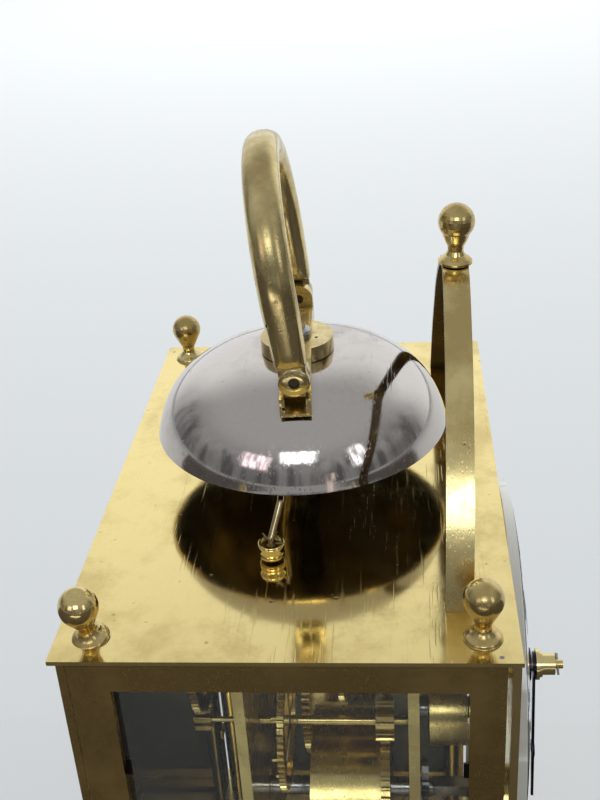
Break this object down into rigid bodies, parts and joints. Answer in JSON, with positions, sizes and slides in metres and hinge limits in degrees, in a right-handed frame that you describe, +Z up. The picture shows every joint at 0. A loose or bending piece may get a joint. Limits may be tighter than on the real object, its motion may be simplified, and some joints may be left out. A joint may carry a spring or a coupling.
{
  "type": "travelling clock",
  "caption": "Brass carriage-style clock on turned feet, with hinged glazed doors, a domed bell with a hammer, an arch on top and a folding carrying handle.",
  "frame": {"origin": "on the table under the middle of the whole clock", "axes": "+Z up; the dial faces -Y; +X is to the right of a viewer who faces the dial"},
  "size_m": [0.1524, 0.1172, 0.2849],
  "materials": {
    "brass_case": "aged polished brass",
    "brass_handle": "cast brass, pitted and worn",
    "brass_movement": "satin brass",
    "bell_steel": "polished grey steel",
    "steel": "satin steel",
    "blued_steel": "dark blued steel",
    "glass": "clear pane",
    "enamel": "glossy white enamel"
  },
  "bodies": {
    "case": {"feet": "brass_case", "base_plate": "brass_case", "corner_posts": "brass_case", "door_pins": "steel", "front_plate": "brass_case", "top_plate": "brass_case", "corner_finials": "brass_case", "arch": "brass_case", "arch_finial": "brass_case", "bell": "bell_steel", "bell_nut": "steel", "bell_post": "steel", "handle_bridge": "brass_handle", "handle_pins": "steel", "dial": "enamel", "dial_ring": "brass_case", "movement_front_plate": "brass_movement", "movement_back_plate": "brass_movement", "pillars": "brass_movement", "pillar_pins": "steel", "plate_studs": "steel", "suspension": "steel"},
    "handle": {"handle": "brass_handle"},
    "hammer": {"hammer_head": "brass_movement", "hammer_wire": "steel", "hammer_arbor": "steel", "hammer_binding": "steel"},
    "pendulum": {"pallet_anchor": "steel", "pendulum_rod": "steel", "pendulum_bob": "brass_movement", "rating_nut": "brass_movement"},
    "minute_train": {"centre_wheel": "brass_movement", "cannon_pinion": "brass_movement", "minute_hand": "blued_steel", "hand_collet": "brass_movement", "hand_pin": "steel"},
    "hour_train": {"hour_wheel": "brass_movement", "hour_hand": "blued_steel"},
    "minute_wheel": {"minute_wheel": "brass_movement"},
    "going_barrel": {"going_barrel": "brass_movement"},
    "third_wheel": {"third_wheel": "brass_movement"},
    "escape_wheel": {"escape_wheel": "brass_movement"},
    "pin_wheel": {"pin_wheel": "brass_movement"},
    "strike_barrel": {"strike_barrel": "brass_movement"},
    "locking_wheel": {"locking_wheel": "brass_movement"},
    "warning_wheel": {"warning_wheel": "brass_movement"},
    "fly": {"fly": "steel"},
    "count_wheel": {"count_wheel": "brass_movement"},
    "going_winding": {"going_winding_arbor": "steel"},
    "strike_winding": {"strike_winding_arbor": "steel"},
    "alarm_barrel": {"alarm_barrel": "brass_movement"},
    "left_door": {"left_door_frame": "brass_case", "left_door_glass": "glass", "left_door_knob": "brass_case"},
    "right_door": {"right_door_frame": "brass_case", "right_door_glass": "glass", "right_door_knob": "brass_case"},
    "rear_door": {"rear_door_frame": "brass_case", "rear_door_glass": "glass", "rear_door_knob": "brass_case"}
  },
  "joints": [
    {"name": "handle_fold", "type": "hinge", "parent": "case", "child": "handle", "pos_m": [0, 0.0076, 0.2374], "axis": [0.9986, 0.0523, 0], "range_deg": [-84, 40]},
    {"name": "left_door_hinge", "type": "hinge", "parent": "case", "child": "left_door", "pos_m": [-0.0703, -0.0352, 0.11], "axis": [0, 0, 1], "range_deg": [0, 110]},
    {"name": "right_door_hinge", "type": "hinge", "parent": "case", "child": "right_door", "pos_m": [0.0703, -0.0352, 0.11], "axis": [0, 0, -1], "range_deg": [0, 110]},
    {"name": "rear_door_hinge", "type": "hinge", "parent": "case", "child": "rear_door", "pos_m": [0.0688, 0.0527, 0.11], "axis": [0, 0, -1], "range_deg": [0, 110]},
    {"name": "hammer_swing", "type": "hinge", "parent": "case", "child": "hammer", "pos_m": [0.02, 0.0106, 0.185], "axis": [0, 1, 0], "range_deg": [0, 6], "stiffness_Nm_per_rad": 0.02, "springref_deg": -5.73},
    {"name": "pendulum_swing", "type": "hinge", "parent": "case", "child": "pendulum", "pos_m": [0, 0.0276, 0.1805], "axis": [0, 1, 0], "range_deg": [-3, 3]},
    {"name": "minute_turn", "type": "hinge", "parent": "case", "child": "minute_train", "pos_m": [0, 0.0076, 0.137], "axis": [0, 1, 0], "continuous": true},
    {"name": "hour_turn", "type": "hinge", "parent": "case", "child": "hour_train", "pos_m": [0, -0.0284, 0.137], "axis": [0, 1, 0], "continuous": true},
    {"name": "motion_turn", "type": "hinge", "parent": "case", "child": "minute_wheel", "pos_m": [0.01061, -0.0244, 0.12639], "axis": [0, 1, 0], "continuous": true},
    {"name": "going_barrel_turn", "type": "hinge", "parent": "case", "child": "going_barrel", "pos_m": [0.025, 0.0026, 0.11784], "axis": [0, 1, 0], "continuous": true},
    {"name": "third_turn", "type": "hinge", "parent": "case", "child": "third_wheel", "pos_m": [0.012, 0.0076, 0.15525], "axis": [0, 1, 0], "continuous": true},
    {"name": "escape_turn", "type": "hinge", "parent": "case", "child": "escape_wheel", "pos_m": [0, 0.0076, 0.1673], "axis": [0, 1, 0], "continuous": true},
    {"name": "pin_wheel_turn", "type": "hinge", "parent": "case", "child": "pin_wheel", "pos_m": [-0.033, 0.0076, 0.1483], "axis": [0, 1, 0], "continuous": true},
    {"name": "strike_barrel_turn", "type": "hinge", "parent": "case", "child": "strike_barrel", "pos_m": [-0.025, -0.0024, 0.11784], "axis": [0, 1, 0], "continuous": true},
    {"name": "locking_turn", "type": "hinge", "parent": "case", "child": "locking_wheel", "pos_m": [-0.019, 0.0076, 0.1607], "axis": [0, 1, 0], "continuous": true},
    {"name": "warning_turn", "type": "hinge", "parent": "case", "child": "warning_wheel", "pos_m": [-0.029, 0.0076, 0.17287], "axis": [0, 1, 0], "continuous": true},
    {"name": "fly_turn", "type": "hinge", "parent": "case", "child": "fly", "pos_m": [-0.0405, 0.0076, 0.16895], "axis": [0, 1, 0], "continuous": true},
    {"name": "count_turn", "type": "hinge", "parent": "case", "child": "count_wheel", "pos_m": [-0.023, 0.0326, 0.16745], "axis": [0, 1, 0], "continuous": true},
    {"name": "going_wind", "type": "hinge", "parent": "case", "child": "going_winding", "pos_m": [0.025, -0.0224, 0.11784], "axis": [0, 1, 0], "continuous": true},
    {"name": "strike_wind", "type": "hinge", "parent": "case", "child": "strike_winding", "pos_m": [-0.025, -0.0224, 0.11784], "axis": [0, 1, 0], "continuous": true},
    {"name": "alarm_turn", "type": "hinge", "parent": "case", "child": "alarm_barrel", "pos_m": [-0.03, -0.0264, 0.15], "axis": [0, 1, 0], "continuous": true}
  ],
  "couplings": [
    {"joint": "hour_turn", "follows": "minute_turn", "ratio": 0.083333},
    {"joint": "motion_turn", "follows": "minute_turn", "ratio": -0.33333},
    {"joint": "going_barrel_turn", "follows": "minute_turn", "ratio": -0.16667},
    {"joint": "third_turn", "follows": "minute_turn", "ratio": -12},
    {"joint": "escape_turn", "follows": "minute_turn", "ratio": 150},
    {"joint": "strike_barrel_turn", "follows": "pin_wheel_turn", "ratio": -0.16667},
    {"joint": "locking_turn", "follows": "pin_wheel_turn", "ratio": -7.5},
    {"joint": "warning_turn", "follows": "pin_wheel_turn", "ratio": 60},
    {"joint": "fly_turn", "follows": "pin_wheel_turn", "ratio": -480},
    {"joint": "count_turn", "follows": "pin_wheel_turn", "ratio": -0.125}
  ]
}
